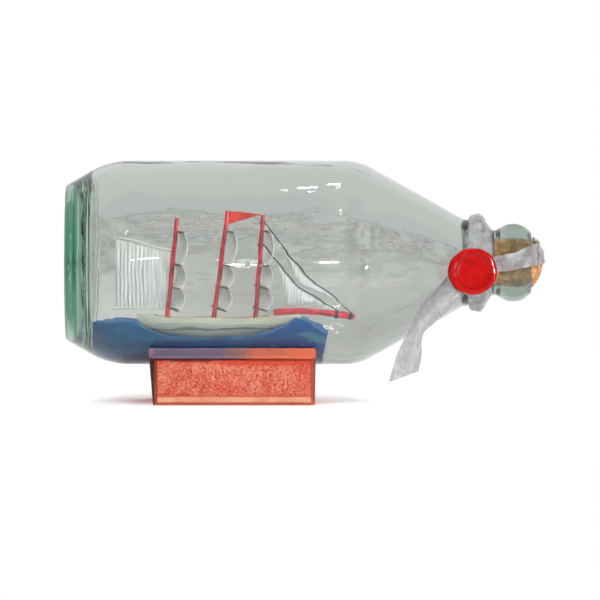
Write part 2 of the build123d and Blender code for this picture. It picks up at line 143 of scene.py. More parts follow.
class Paint(Wiring):
    def __init__(self, name, settings):
        self.material = bpy.data.materials.new(name)
        self.material.use_nodes = True
        super().__init__(self.material.node_tree)
        self.shader = self.tree.nodes["Principled BSDF"]
        self.solid = Value(self, self.shader.outputs[0])
        self.put(settings)

    def put(self, settings):
        for name, value in settings.items():
            self.feed(self.shader.inputs[name], value)
        return self

    def send(self, socket, value):
        self.feed(self.tree.nodes["Material Output"].inputs[socket], value)
        return self

    # lamps shine through a clear piece, and every other ray is bent by it
    def letLampsThrough(self, tint, solid=None):
        clear = self.make("ShaderNodeBsdfTransparent", {}, {"Color": tint})
        return self.send("Surface", self.mixShaders(self.ray("Is Shadow Ray"), solid or self.solid, clear))

    def place(self, scale=(1, 1, 1), shift=(0, 0, 0)):
        inputs = {"Vector": self.where(), "Scale": scale, "Location": shift}
        return self.make("ShaderNodeMapping", {}, inputs)

    def along(self, axis):
        return self.make("ShaderNodeSeparateXYZ", {}, {0: self.where()}, axis)

    # 0 at one place along an axis and 1 at another, both in millimetres
    def share(self, axis, start, end):
        return (self.along(axis) - start * mm) * (1 / ((end - start) * mm))

    # metres from a point, in the directions that scale keeps
    def away(self, point, scale=(1, 1, 1)):
        shift = [-kept * place for kept, place in zip(scale, point)]
        apart = {0: self.place(scale, shift)}
        return self.make("ShaderNodeVectorMath", {"operation": "LENGTH"}, apart, "Value")

    def cloud(self, size, detail, rough=0.5, bend=0.0, stretch=(1, 1, 1)):
        inputs = {"Scale": 1 / (size * mm), "Detail": detail, "Roughness": rough, "Distortion": bend}
        inputs["Vector"] = self.place(stretch)
        return self.make("ShaderNodeTexNoise", {}, inputs)

    def relief(self, height, strength, depth):
        inputs = {"Height": height, "Strength": strength, "Distance": depth * mm}
        return self.make("ShaderNodeBump", {}, inputs)

    def coat(self, colour, height, strength, depth):
        return self.put({"Base Color": colour, "Normal": self.relief(height, strength, depth)}).material


def meshOf(name, bm):
    # ends a bmesh, and keeps it as a mesh
    mesh = bpy.data.meshes.new(name)
    bm.to_mesh(mesh)
    bm.free()
    return mesh


def addObject(name, data):
    thing = bpy.data.objects.new(name, data)
    bpy.context.scene.collection.objects.link(thing)
    return thing


def buildPiece(bm, name, body, finish, stands=(), creased=False):
    # makes an object of a bmesh in millimetres, and sets it on its body
    bmesh.ops.remove_doubles(bm, verts=bm.verts, dist=weld)
    bmesh.ops.recalc_face_normals(bm, faces=bm.faces)
    bmesh.ops.scale(bm, vec=(mm, mm, mm), verts=bm.verts)
    mesh = meshOf(name, bm)
    mesh.shade_smooth()
    if creased:
        mesh.set_sharp_from_angle(angle=math.radians(creaseAngle))
    mesh.materials.append(finish)
    piece = addObject(name, mesh)
    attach(piece, body)
    if stands:
        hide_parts(*stands)
    return piece


def layGrid(bm, cells, shape):
    # a grid whose points come from shape(share along it, share across it)
    grid = bmesh.ops.create_grid(bm, x_segments=cells[0], y_segments=cells[1], size=1)
    for vert in grid["verts"]:
        vert.co = shape((vert.co.x + 1) / 2, (vert.co.y + 1) / 2)


def thinSheet(name, shape, cells, thick, finish, node, body="bottle"):
    bm = bmesh.new()
    layGrid(bm, cells, shape)
    bmesh.ops.remove_doubles(bm, verts=bm.verts, dist=weld)
    bmesh.ops.recalc_face_normals(bm, faces=bm.faces)
    bmesh.ops.solidify(bm, geom=bm.faces[:], thickness=thick)
    return buildPiece(bm, name, body, finish, [node], creased=True)


def dress(nodeName, finish):
    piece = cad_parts[nodeName]
    piece.data.materials.clear()
    piece.data.materials.append(finish)


def ruffle(point, size, seed=0.0):
    # smooth noise, from about -1 to 1
    return noise.noise(Vector(point) / size + Vector((seed, seed * 0.7, seed * 1.3)))


def softStep(value, low, high):
    share = min(max((value - low) / (high - low), 0), 1)
    return share * share * (3 - 2 * share)


def between(points, value):
    # the height at a place, on steps through (place, height) points
    for (x0, y0), (x1, y1) in zip(points, points[1:]):
        if value <= x1:
            return y0 + (y1 - y0) * (0.5 * softStep(value, x0, x1) + 0.5 * (value - x0) / (x1 - x0))
    return points[-1][1]


# Camera, lamps, world and floor
studio = {
    "aim": (-2.06, 0, -14.05),  # from the middle of the part, and from the bottle's axis upwards
    "distance": 3600,
    "elevation": 3,
    "lens": 576,
    "reaches": (20, 8),  # metres: how far the camera sees, and half the floor's side
    "floorShade": (0.95, 0.95, 0.95, 1),
    "nearFloor": (0.1, 0.34),  # metres: the floor takes shadows up to here, and further out it is white
    "worldShade": (0.93, 0.95, 0.96, 1),
    "roomBack": 0.4,  # how bright gloss shows the room behind the camera
    "roomThrough": (0.61, 0.615, 0.595, 1),  # the room as glass shows it
    "floorThrough": ((0.42, 0.412, 0.392, 1), (0.66, 0.665, 0.645, 1)),  # and the floor, in streaks
    "lamps": (
        # name, place, size, power
        ("keyLamp", (-260, -420, 520), 260, 2.0),
        ("fillLamp", (380, -560, 240), 200, 2.4),
        ("backLamp", (80, 420, 460), 260, 1.0),
    ),
    "glints": (
        # place along the bottle, degrees up from the front, width and height
        (-80, 6, 9, 20), (-27, 0, 12, 22), (-27, -38, 9, 16), (12, 3, 5, 12),
        (-96, 36, 16, 22), (3, 94, 10, 34), (20, 100, 10, 30), (20, 62, 12, 28),
    ),
    "sealGlint": ((470, -480, 25), 40, 4.0),  # place, size and power of the lamp in the seal's rim
    "glintReach": 600,
    "glintPower": 0.02,
}


def frontAt(degrees):
    # the way from the part to the front, turned up by an angle
    angle = math.radians(degrees)
    return Vector((0, -math.cos(angle), math.sin(angle)))


def addLamp(name, place, aim, shape, size, tall, power):
    lamp = bpy.data.lights.new(name, "AREA")
    lamp.shape = shape
    lamp.size = size * mm
    lamp.size_y = tall * mm
    lamp.energy = power
    holder = addObject(name, lamp)
    holder.location = place * mm
    holder.rotation_euler = (aim - place).to_track_quat("-Z", "Y").to_euler()
    return holder


def addLamps(target):
    for name, place, size, power in studio["lamps"]:
        lamp = addLamp(name, Vector(place), target, "DISK", size, size, power)
        lamp.visible_glossy = False
        lamp.visible_transmission = False
    for index, (x, up, wide, tall) in enumerate(studio["glints"]):
        aim = Vector((x, 0, axisZ))
        place = aim + studio["glintReach"] * frontAt(up)
        lamp = addLamp(f"glint{index}", place, aim, "RECTANGLE", wide, tall, studio["glintPower"])
        lamp.visible_diffuse = False
    low, high = span["wax_seal"]
    place, size, power = studio["sealGlint"]
    lamp = addLamp("sealGlint", Vector(place), (low + high) / 2, "DISK", size, size, power)
    lamp.visible_diffuse = False


def addWorld():
    world = bpy.data.worlds.new("studioWorld")
    world.use_nodes = True
    nodes = Wiring(world.node_tree)
    room = world.node_tree.nodes["Background"]
    nodes.feed(room.inputs["Color"], studio["worldShade"])
    white = nodes.make("ShaderNodeBackground", {}, {"Color": (1, 1, 1, 1)})
    through = nodes.make("ShaderNodeBackground", {}, {"Color": studio["roomThrough"]})
    way = nodes.make("ShaderNodeTexCoord", out="Generated")
    ahead = nodes.make("ShaderNodeSeparateXYZ", {}, {0: way}, "Y")
    shade = nodes.curve(ahead * 0.5 + 0.5, (0.3, studio["roomBack"]), (0.6, 1))
    mirror = nodes.make("ShaderNodeBackground", {}, {"Color": shade})
    plain = Value(nodes, room.outputs[0])
    shown = nodes.mixShaders(nodes.ray("Is Glossy Ray"), plain, mirror)
    shown = nodes.mixShaders(nodes.ray("Is Transmission Ray"), shown, through)
    shown = nodes.mixShaders(nodes.ray("Is Camera Ray"), shown, white)
    nodes.feed(world.node_tree.nodes["World Output"].inputs["Surface"], shown)
    bpy.context.scene.world = world


def addFloor():
    bm = bmesh.new()
    bmesh.ops.create_grid(bm, x_segments=1, y_segments=1, size=studio["reaches"][1])
    floor = addObject("floor", meshOf("floor", bm))
    paper = {"Base Color": studio["floorShade"], "Roughness": 0.9, "Specular IOR Level": 0.1}
    paint = Paint("floorPaper", paper)
    near, far = studio["nearFloor"]
    beyond = paint.curve(paint.away((0, 0, 0)), (near, 0), (far, 1))
    soft = paint.curve(paint.cloud(90, detail=4, stretch=(1, 0.12, 1)), (0.38, 0), (0.62, 1))
    white = paint.make("ShaderNodeEmission", {}, {"Color": (1, 1, 1, 1)})
    through = paint.make("ShaderNodeEmission", {}, {"Color": paint.blend(soft, *studio["floorThrough"])})
    away = paint.mixShaders(paint.ray("Is Camera Ray"), through, white)
    share = paint.ray("Is Camera Ray", "Is Glossy Ray") * beyond + paint.ray("Is Transmission Ray")
    paint.send("Surface", paint.mixShaders(share, paint.solid, away))
    floor.data.materials.append(paint.material)


def setStudio():
    scene = bpy.context.scene
    scene.view_settings.view_transform = "Standard"
    target = Vector(studio["aim"]) + Vector((0, 0, axisZ))
    camera = addObject("camera", bpy.data.cameras.new("camera"))
    camera.data.lens = studio["lens"]
    camera.data.clip_end = studio["reaches"][0]
    camera.location = (target + studio["distance"] * frontAt(studio["elevation"])) * mm
    camera.rotation_euler = (math.radians(90 - studio["elevation"]), 0, 0)
    scene.camera = camera
    addLamps(target)
    addWorld()
    addFloor()
    print("studio set")


# Glass
bottle = {
    "wall": 3.0,
    "base": 9.0,
    "edgeRadius": 1.5,
    "puntRadius": 22,
    "puntDepth": 1.6,
    "puntEdge": 3,
    "heelLength": 16.05,
    "heelSlope": 30.2,
    "heelRadius": 26,
    "innerHeelRadius": 4,
    "shoulderSlope": 29.3,
    "shoulderRadius": 20,
    "collarRadius": 16.1,
    "collarLength": 7.6,
    "grooveRun": 3.4,
    "grooveRadius": 11.6,
    "lipSlopeRun": 5.2,
    "lipRadius": 14.6,
    "lipLength": 5.4,
    "lipCorner": 6.5,
    "mouthRun": 3.6,
    "mouthRadius": 11.4,
    "bore": 9.3,
    "boreCorner": 4,
    "soft": 1.6,  # fillet of the neck's other corners
    "turns": 144,
    "step": 2.5,
    "outerWave": 0.07,
    "innerWave": 0.17,
    "waveLong": 24,  # the waves' length along the axis and round it
    "waveRound": 9,
    "ripple": (0.4, 2.3),  # the height and number of the small waves on each wave
    "calmRun": 12,  # the waves die out over this, before the collar
    "tint": (0.943, 0.941, 0.9375, 1),
    "absorbs": (0.28, 0.74, 0.55, 1),
    "density": 17,
    "lampTint": (0.905, 0.90, 0.885, 1),
    "green": (0.05, 0.26, 0.17, 1),  # the thick base's own green, with painted shade and light in rings where it is seen on edge
    "ringReach": 11.0,
    "rings": (
        (0.0, 0.9), (0.04, 0.3), (0.1, 0.35), (0.14, 1.0), (0.27, 1.0), (0.31, 0.0), (0.42, 0.0),
        (0.46, 1.0), (0.53, 0.4), (0.56, 0.4), (0.6, 1.0), (0.78, 1.0), (0.82, 0.1), (0.87, 1.0),
    ),
    "ringSway": 0.05,
    "ringEdge": (0.7, 0.8),  # the rings fade out from here inwards, in body radii
    "ringFade": 0.8,  # and by this much
    "lipGreen": 0.42,  # how green the thick lip looks
}
lipEndX = mouthX - bottle["mouthRun"]
lipX = lipEndX - bottle["lipLength"]
grooveX = lipX - bottle["lipSlopeRun"]
collarEndX = grooveX - bottle["grooveRun"]
collarX = collarEndX - bottle["collarLength"]
shoulderTan = math.tan(math.radians(bottle["shoulderSlope"]))
heelTan = math.tan(math.radians(bottle["heelSlope"]))
shoulderX = collarX - (bodyRadius - bottle["collarRadius"]) / shoulderTan
heelX = baseX + bottle["heelLength"]
floorX = baseX + bottle["base"]
insideRadius = bodyRadius - bottle["wall"]


def cornerLine(bm, points):
    verts = [bm.verts.new(point) for point in points]
    for first, second in zip(verts, verts[1:]):
        bm.edges.new((first, second))
    return verts


def roundCorner(bm, vert, run, rounds):
    bmesh.ops.bevel(
        bm, geom=[vert], offset=run, affect="VERTICES", segments=rounds, profile=0.5, material=-1
    )


def roundedLine(bm, corners, step):
    # a line of verts through (x, radius, fillet) corners about the bottle's axis
    verts = cornerLine(bm, [(corner[0], 0, axisZ + corner[1]) for corner in corners])
    ways = [b.co - a.co for a, b in zip(verts, verts[1:])]
    turns = [before.angle(after) for before, after in zip(ways, ways[1:])]
    for vert, turn, corner in zip(verts[1:-1], turns, corners[1:-1]):
        fillet = corner[2]
        if fillet:
            roundCorner(bm, vert, fillet * math.tan(turn / 2), max(3, round(fillet * turn / step) + 2))
    for edge in list(bm.edges):
        cuts = int(edge.calc_length() / step)
        if cuts:
            bmesh.ops.subdivide_edges(bm, edges=[edge], cuts=cuts)


def spinRound(bm, turns, centre, axis):
    line = bm.verts[:] + bm.edges[:]
    bmesh.ops.spin(bm, geom=line, cent=centre, axis=axis, angle=math.tau, steps=turns, use_merge=True)
    bmesh.ops.remove_doubles(bm, verts=bm.verts, dist=weld)


def outsideCorners():
    soft = bottle["soft"]
    baseRadius = bodyRadius - bottle["heelLength"] * heelTan
    punt = bottle["puntRadius"]
    deep = baseX + bottle["puntDepth"]
    return [
        (deep, 0, 0),
        (deep, punt * 0.5, punt),
        (baseX, punt, bottle["puntEdge"]),
        (baseX, baseRadius, bottle["edgeRadius"]),
        (heelX, bodyRadius, bottle["heelRadius"]),
        (shoulderX, bodyRadius, bottle["shoulderRadius"]),
        (collarX, bottle["collarRadius"], soft),
        (collarEndX, bottle["collarRadius"], soft),
        (grooveX, bottle["grooveRadius"], soft),
        (lipX, bottle["lipRadius"], bottle["lipCorner"]),
        (lipEndX, bottle["lipRadius"], bottle["lipCorner"]),
        (mouthX, bottle["mouthRadius"], soft),
        (mouthX, bottle["bore"], 0),
    ]


def insideCorners():
    wall = bottle["wall"]
    heel = heelX + wall * math.tan(math.radians(bottle["heelSlope"] / 2))
    shoulder = shoulderX - wall * math.tan(math.radians(bottle["shoulderSlope"] / 2))
    neck = shoulder + (insideRadius - bottle["bore"]) / shoulderTan
    return [
        (mouthX, bottle["bore"], 0),
        (neck, bottle["bore"], bottle["boreCorner"]),
        (shoulder, insideRadius, bottle["shoulderRadius"] - wall),
        (heel, insideRadius, bottle["heelRadius"] - wall),
        (floorX, insideRadius - (heel - floorX) * heelTan, bottle["innerHeelRadius"]),
        (floorX, 0, 0),
    ]


def insideRadiusAt(x):
    # the radius of the space inside, by running along its profile
    for (x0, r0), (x1, r1) in zip(insideLine, insideLine[1:]):
        if x0 <= x <= x1:
            return r0 + (r1 - r0) * (x - x0) / (x1 - x0)
    return 0.0


def traceInside():
    bm = bmesh.new()
    roundedLine(bm, insideCorners(), bottle["step"])
    line = sorted((vert.co.x, vert.co.z - axisZ) for vert in bm.verts)
    bm.free()
    return [point for point in line if point[1] > 0.001 or point[0] > floorX]


insideLine = traceInside()


def glassFinish():
    paint = Paint("bottleGlass", {"Roughness": 0.0, "IOR": 1.5, "Transmission Weight": 1.0})
    seeds = paint.cloud(7, detail=2, stretch=(0.45, 1, 1))
    # painted shade and light: green and clear rings across the thick base, wavering a little
    sway = (paint.cloud(9, detail=2) - 0.5) * bottle["ringSway"]
    rings = paint.curve(paint.share("X", baseX, baseX + bottle["ringReach"]) + sway, *bottle["rings"])
    radius = paint.away((0, 0, axisZ * mm), (0, 1, 1)) * (1 / (bodyRadius * mm))
    inner, outer = bottle["ringEdge"]
    disc = paint.curve(radius, (inner, 1), (outer, 0))
    rings = rings + (1 - rings) * disc * bottle["ringFade"]
    lip = paint.curve(paint.share("X", grooveX, lipX), (0, 0), (1, 1))
    clear = rings - lip * bottle["lipGreen"]
    paint.put({"Base Color": paint.blend(clear, bottle["green"], bottle["tint"])})
    paint.put({"Normal": paint.relief(seeds, 0.12, 0.6)}).letLampsThrough(bottle["lampTint"])
    absorbs = {"Color": bottle["absorbs"], "Density": bottle["density"]}
    return paint.send("Volume", paint.make("ShaderNodeVolumeAbsorption", {}, absorbs)).material


def makeBottle():
    bm = bmesh.new()
    inner = bm.verts.layers.int.new("inner")
    roundedLine(bm, insideCorners(), bottle["step"])
    for vert in bm.verts:
        vert[inner] = 1
    outside = bmesh.new()
    roundedLine(outside, outsideCorners(), bottle["step"])
    bm.from_mesh(meshOf("outside", outside))
    spinRound(bm, bottle["turns"], (0, 0, axisZ), (1, 0, 0))
    height, number = bottle["ripple"]
    for vert in bm.verts:
        x, y, z = vert.co
        out = Vector((0, y, z - axisZ))
        if out.length < 1:
            continue
        calm = 1 - softStep(x, collarX - bottle["calmRun"], collarX)
        size = bottle["innerWave"] if vert[inner] else bottle["outerWave"]
        place = Vector((x / bottle["waveLong"], y / bottle["waveRound"], (z - axisZ) / bottle["waveRound"]))
        wave = noise.noise(place) + height * noise.noise(place * number)
        vert.co += out.normalized() * wave * size * calm
    buildPiece(bm, "glassBottle", "bottle", glassFinish(), ["bottle"])
    print("bottle made")


# Sea: a bed of putty, pressed against the glass and brushed into waves
sea = {
    "level": 0.1,  # heights from the deck
    "surface": (  # half hull lengths from the hull's middle, and heights from the deck
        (-1.2, 0.1), (-1.0, -0.1), (-0.88, -2.4), (-0.66, -5.0), (-0.35, -5.9), (0.3, -5.8),
        (0.6, -3.9), (0.8, -1.65), (0.95, 1.3), (1.07, 0.9), (1.2, -2.0), (1.33, -4.7),
    ),
    "tilt": 0.05,  # the bed falls this much towards the back
    "bank": 2.6,  # how far the fore face leans
    "bankRun": 12,
    "intoGlass": 0.7,
    "aftGap": 2.2,  # clear of the thick base
    "crown": 0.94,  # the share of its rows that make the top, before the fore face
    "rim": 0.9,  # where its edge takes its height, as a share of the inside radius
    "cells": (150, 96),
    "brush": (0.45, 7, 0.5, 3.2),  # depth and size of its marks, and how fast they change along and across
    "chop": (0.35, 5),
    "rough": (0.8, 6),  # of the fore face
    "deep": (0.001, 0.082, 0.235, 1),
    "mid": (0.003, 0.15, 0.34, 1),
    "bright": (0.002, 0.09, 0.30, 1),
    "brightFrom": (12, 28),  # from the hull's middle forwards
    "foam": (0.05, 0.22, 0.34, 1),
}
hullMid = (hullLow.x + hullHigh.x) / 2
hullHalf = (hullHigh.x - hullLow.x) / 2


def seaHeight(x, y):
    points = [(hullMid + share * hullHalf, height) for share, height in sea["surface"]]
    height = between([(baseX, sea["level"])] + points, x)
    deep, size, along, across = sea["brush"]
    brush = deep * ruffle((x * along, y * across, 0), size)
    high, size = sea["chop"]
    return deckTop + height - sea["tilt"] * y + brush + high * ruffle((x, y, 5), size)


def seaFinish():
    paint = Paint("seaPutty", {"Roughness": 0.45, "Specular IOR Level": 0.2})
    strokes = paint.cloud(3.2, detail=5, rough=0.6, bend=0.4, stretch=(0.28, 1, 1))
    patches = paint.cloud(17, detail=2)
    body = paint.blend(paint.curve(strokes, (0.35, 0), (0.68, 1)), sea["deep"], sea["mid"])
    start, end = sea["brightFrom"]
    fore = paint.share("X", hullMid + start, hullMid + end)
    share = paint.curve(fore + patches * 0.9 - 0.45, (0.1, 0), (0.8, 1))
    foam = paint.curve(paint.cloud(2.4, detail=2, stretch=(0.25, 0.8, 1)), (0.58, 0), (0.66, 1))
    colour = paint.blend(share * foam, paint.blend(share, body, sea["bright"]), sea["foam"])
    return paint.coat(colour, strokes, 0.7, 0.5)


def seaPoint(u, v, top):
    # a point of the bed's upper or under surface, for shares along it and across it
    lastX = hullMid + sea["surface"][-1][0] * hullHalf
    firstX = floorX + sea["aftGap"]
    x = firstX + (lastX - firstX) * min(u / sea["crown"], 1)
    calm = v**8
    radius = insideRadiusAt(x) + sea["intoGlass"]
    edge = seaHeight(x, math.copysign(insideRadius * sea["rim"], v))
    drop = min(axisZ - edge, radius)
    half = math.sqrt(radius**2 - drop**2)
    angle = math.atan2(half, drop) * v
    under = Vector((x, radius * math.sin(angle), axisZ - radius * math.cos(angle)))
    over = Vector((x, half * v, 0))
    over.z = seaHeight(x, over.y) * (1 - calm) + edge * calm
    face = softStep(u, sea["crown"], 1)
    point = over.lerp(under, face) if top else under
    lean = softStep(x, lastX - sea["bankRun"], lastX) * (edge - point.z) / (edge - bottleLow.z)
    rough, size = sea["rough"]
    point.x -= sea["bank"] * lean - rough * ruffle((0, point.y, point.z), size) * face * (1 - calm)
    return point


def makeSea():
    bm = bmesh.new()
    for top in (True, False):
        layGrid(bm, sea["cells"], lambda u, v: seaPoint(u, 2 * v - 1, top))
    bmesh.ops.remove_doubles(bm, verts=bm.verts, dist=0.01)
    rims = [edge for edge in bm.edges if edge.is_boundary]
    bmesh.ops.holes_fill(bm, edges=rims, sides=0)
    buildPiece(bm, "seaBed", "bottle", seaFinish(), ["sea"])
    print("sea made")


# Ribbon strips: the band, the strap and the tail
ribbon = {
    "width": 10.0,
    "thick": 0.16,
    "colour": (0.32, 0.31, 0.325, 1),
    "shade": (0.24, 0.235, 0.245, 1),
    "clear": (0.42, 0.8),  # how solid the weave is, from flat stretches to folds
}
band = {
    "clear": 0.35,  # of the collar
    "shift": 0.8,  # it creeps back where it gathers, above and below the neck
    "widths": (0.96, 0.4),  # as a share of the ribbon's, and what it loses where it gathers
    "puff": 1.5,
    "wrinkle": 0.13,
    "crumple": 0.5,
}


def ribbonFinish():
    paint = Paint("satinRibbon", {"Roughness": 0.45, "Sheen Weight": 0.3})
    folds = paint.cloud(2.8, detail=2, stretch=(1, 1, 0.5))
    weave = paint.cloud(0.25, detail=1)
    share = paint.curve(folds, (0.36, 0), (0.64, 1))
    thin, dense = ribbon["clear"]
    paint.put({"Alpha": share * (dense - thin) + thin})
    return paint.coat(paint.blend(share, ribbon["shade"], ribbon["colour"]), weave + folds * 2, 0.25, 0.12)


def makeStrip(name, body, node, shape, cells, finish):
    # a thin ribbon whose points come from shape(share along it, -1 to 1 across it)
    piece = thinSheet(
        name, lambda u, v: shape(u, 2 * v - 1), cells, ribbon["thick"], finish, node, body
    )


def bandPoint(u, v):
    low, high = span["ribbon_band"]
    angle = math.tau * u
    aside, up = math.sin(angle), math.cos(angle)
    gather = abs(up) ** 3
    wide, loss = band["widths"]
    half = ribbon["width"] / 2 * (wide - loss * gather)
    x = (low.x + high.x) / 2 - band["shift"] * gather + half * v
    crown = 1 - v**4
    pleats = math.sin(v * 5 + ruffle((aside, up, 0), 0.8) * 2)
    lift = band["clear"] + band["puff"] * gather * crown + band["wrinkle"] * (1 + pleats) * (0.4 + gather)
    lift += band["crumple"] * ruffle((x, 9 * aside, 9 * up), 4) * gather
    radius = bottle["collarRadius"] + max(lift, 0.3)
    return Vector((x, radius * aside, axisZ + radius * up))


strap = {
    "length": 62,
    "rise": 6.6,  # of its middle over its ends
    "fall": 1.6,  # of its ends below the cork's axis
    "narrow": 0.5,
    "spread": 0.5,
    "pleats": 0.16,
    "crumple": 0.12,
    "dome": 0.018,  # how far its edges bend back over the cork's domed head
}


def strapRoute():
    # the taut way from the seal over the lip and the cork's head, and back to the groove behind
    headX = span["cork"][1].x + 0.35
    collarSide = bottle["collarRadius"] + 0.9
    lipSide = bottle["lipRadius"] + 0.45
    mouthSide = bottle["mouthRadius"] + 0.7
    front = [
        (collarEndX - 1.0, -collarSide),
        (collarEndX + 2.5, -collarSide + 0.3),
        (lipEndX - 3.0, -lipSide - 0.1),
        (lipEndX + 0.5, -lipSide + 0.6),
        (mouthX + 0.9, -mouthSide),
        (headX - 0.7, -bottle["bore"] * 0.62),
        (headX, -1.5),
    ]
    return front + [(x, -y) for x, y in reversed(front)]


def smoothRoute(points, share):
    # a Catmull-Rom line through points
    place = share * (len(points) - 1)
    index = min(int(place), len(points) - 2)
    t = place - index
    near = [points[min(max(index + k, 0), len(points) - 1)] for k in (-1, 0, 1, 2)]
    a, b, c, d = [Vector(p) for p in near]
    return 0.5 * (2 * b + (c - a) * t + (2 * a - 5 * b + 4 * c - d) * t**2 + (3 * b - a - 3 * c + d) * t**3)


def wayAlong(points, share, step=0.01):
    return smoothRoute(points, min(share + step, 1)) - smoothRoute(points, max(share - step, 0))


def strapPoint(u, v):
    route = strapRoute()
    x, y = smoothRoute(route, u)
    ahead = wayAlong(route, u)
    out = Vector((-ahead.y, ahead.x, 0)).normalized()
    if out.x * (x - collarEndX) + out.y * y < 0:
        out = -out
    end = abs(1 - 2 * u)
    rise = strap["rise"] * (1 - end**1.5) - strap["fall"]
    half = ribbon["width"] / 2 * (strap["narrow"] + strap["spread"] * (1 - end))
    height = rise + half * v
    aside = max(abs(y), 1)
    sag = math.hypot(aside, height) - aside
    pleats = strap["pleats"] * (1 + math.sin(v * 7 + 5 * u))
    pleats += strap["crumple"] * ruffle((u * 30, v * 3, 2), 2.5)
    point = Vector((x, y, axisZ + height)) + out * max(pleats, 0)
    head = 1 - softStep(abs(y), 5, 9)
    point.x -= head * strap["dome"] * ((y * y + height * height) ** 1.2 - abs(y) ** 2.4)
    over = softStep(abs(y), 6, 13)
    point.y *= 1 - over * min(sag / aside, 0.2)
    return point


tail = {
    "length": 45,
    "waist": 0.42,  # how much narrower it is where it leaves the shoulder
    "waistAt": 0.58,
    "waistRun": 0.2,
    "opens": (0.45, 0.85),  # where it unfolds, as shares of its length
    "twist": 24,
    "cup": 0.9,
    "wave": 0.35,
    "cut": 3.4,
}


def tailRoute():
    seal = (span["wax_seal"][0] + span["wax_seal"][1]) / 2
    low, high = span["ribbon_tail"]
    back = high.y
    return [
        (seal.x - 2, back + 1.0, seal.z - 1),
        (seal.x - 9.5, low.y * 0.3 + back * 0.7, seal.z - 9.0),
        (seal.x - 16.5, low.y * 0.7 + back * 0.3, seal.z - 16.5),
        (seal.x - 20.5, low.y, seal.z - 22.5),
        (seal.x - 22.8, low.y - 0.3, seal.z - 30),
        (seal.x - 25.2, low.y, seal.z - 39.2),
    ]


def tailPoint(u, v):
    route = tailRoute()
    middle = smoothRoute(route, u)
    ahead = wayAlong(route, u).normalized()
    across = ahead.cross(Vector((0, 1, 0))).normalized()
    gather = 1 - softStep(u, *tail["opens"])
    waist = math.exp(-(((u - tail["waistAt"]) / tail["waistRun"]) ** 2))
    twist = math.radians(tail["twist"]) * gather * math.sin(u * 6.5)
    turned = Matrix.Rotation(twist, 3, ahead) @ across
    half = ribbon["width"] / 2 * (0.98 - tail["waist"] * waist)
    cut = ahead * tail["cut"] * v * softStep(u, 0.7, 1.0)
    fold = tail["cup"] * math.cos(v * 2.6) * (0.3 + gather) + tail["wave"] * math.sin(v * 5 + u * 9)
    return middle + turned * half * v - cut + Vector((0, -fold, 0))


def makeRibbons():
    finish = ribbonFinish()
    makeStrip("ribbonBand", "bottle", "ribbon_band", bandPoint, (220, 22), finish)
    makeStrip(
        "ribbonStrap", "cork", "ribbon_strap", strapPoint, (140, 16), finish
    )
    makeStrip("ribbonTail", "bottle", "ribbon_tail", tailPoint, (110, 18), finish)
    print("ribbons made")


# Wax seal: a pressed disc whose rim has crept, with wax behind it that holds it to the neck
seal = {
    "tilt": 10.4,
    "profile": (  # radius, height and fillet, from the face's middle round to the back
        (0, 2.7, 0), (6.2, 2.75, 0.5), (7.0, 3.5, 0.6), (9.1, 3.3, 0.8),
        (9.6, 0.9, 1.1), (7.4, -0.3, 0.8), (5.0, -2.6, 0.6), (0, -2.7, 0),
    ),
    "turns": 96,
    "rim": (5.5, 9.5),  # the radii between which the creep sets in
    "creep": 0.5,
    "uneven": 0.25,
    "oval": 0.94,
    "forward": 0.6,
    "offBack": 1.6,  # height 0 lies this far from the back of its box
    "colour": (0.37, 0.001, 0.001, 1),
    "shaded": ((0.58, 0), (0.67, 0.7), (0.76, 0), (0.86, 0), (0.95, 0.8)),  # painted shade in rings where the dish meets the rim and towards the outer edge, by radius in cm
    "dark": (0.20, 0.001, 0.001, 1),
}


def waxFinish():
    paint = Paint("sealWax", {"Roughness": 0.14, "Specular IOR Level": 0.16})
    streaks = paint.cloud(4.5, detail=3, bend=1.2)
    body = paint.blend(paint.curve(streaks, (0.3, 0.7), (0.6, 0)), seal["colour"], seal["dark"])
    low, high = span["wax_seal"]
    middle = (low + high) / 2 + Vector((seal["forward"], 0, 0))
    # painted shade: darker rings at the dish's edge and round the rim
    ring = paint.curve(paint.away(middle * mm) * 100, *seal["shaded"])
    return paint.coat(paint.blend(ring, body, seal["dark"]), streaks, 0.25, 0.3)


def makeSeal():
    low, high = span["wax_seal"]
    profile = seal["profile"]
    bm = bmesh.new()
    verts = cornerLine(bm, [(corner[0], 0, corner[1]) for corner in profile])
    for vert, corner in zip(verts[1:-1], profile[1:-1]):
        roundCorner(bm, vert, corner[2], 5)
    long = [edge for edge in bm.edges if edge.calc_length() > 1.2]
    bmesh.ops.subdivide_edges(bm, edges=long, cuts=5)
    spinRound(bm, seal["turns"], (0, 0, 0), (0, 0, 1))
    for vert in bm.verts:
        flat = Vector((vert.co.x, vert.co.y, 0))
        rim = softStep(flat.length, *seal["rim"])
        way = flat.normalized() if flat.length > 0.01 else Vector((1, 0, 0))
        vert.co += way * ruffle(way * 3 + Vector((4, 0, 0)), 1.6) * seal["creep"] * rim
        vert.co.z += seal["uneven"] * ruffle(vert.co, 3.2) * (0.4 + rim)
        vert.co.y *= seal["oval"]
    tilt = Matrix.Rotation(math.radians(seal["tilt"]), 4, "Z") @ Matrix.Rotation(math.radians(90), 4, "X")
    back = (low + high) / 2 - tilt.to_3x3() @ Vector((0, 0, (high.y - low.y) / 2 - seal["offBack"]))
    back.x += seal["forward"]
    bmesh.ops.transform(bm, matrix=Matrix.Translation(back) @ tilt, verts=bm.verts)
    buildPiece(bm, "waxSeal", "bottle", waxFinish(), ["wax_seal"], creased=True)
    print("seal made")


# Cork: turned, with pores
corkShape = {
    "chamfer": 0.8,
    "rim": 0.5,
    "turns": 120,
    "step": 0.5,
    "pits": 0.22,
    "light": (0.64, 0.33, 0.12, 1),
    "dark": (0.22, 0.08, 0.025, 1),
}


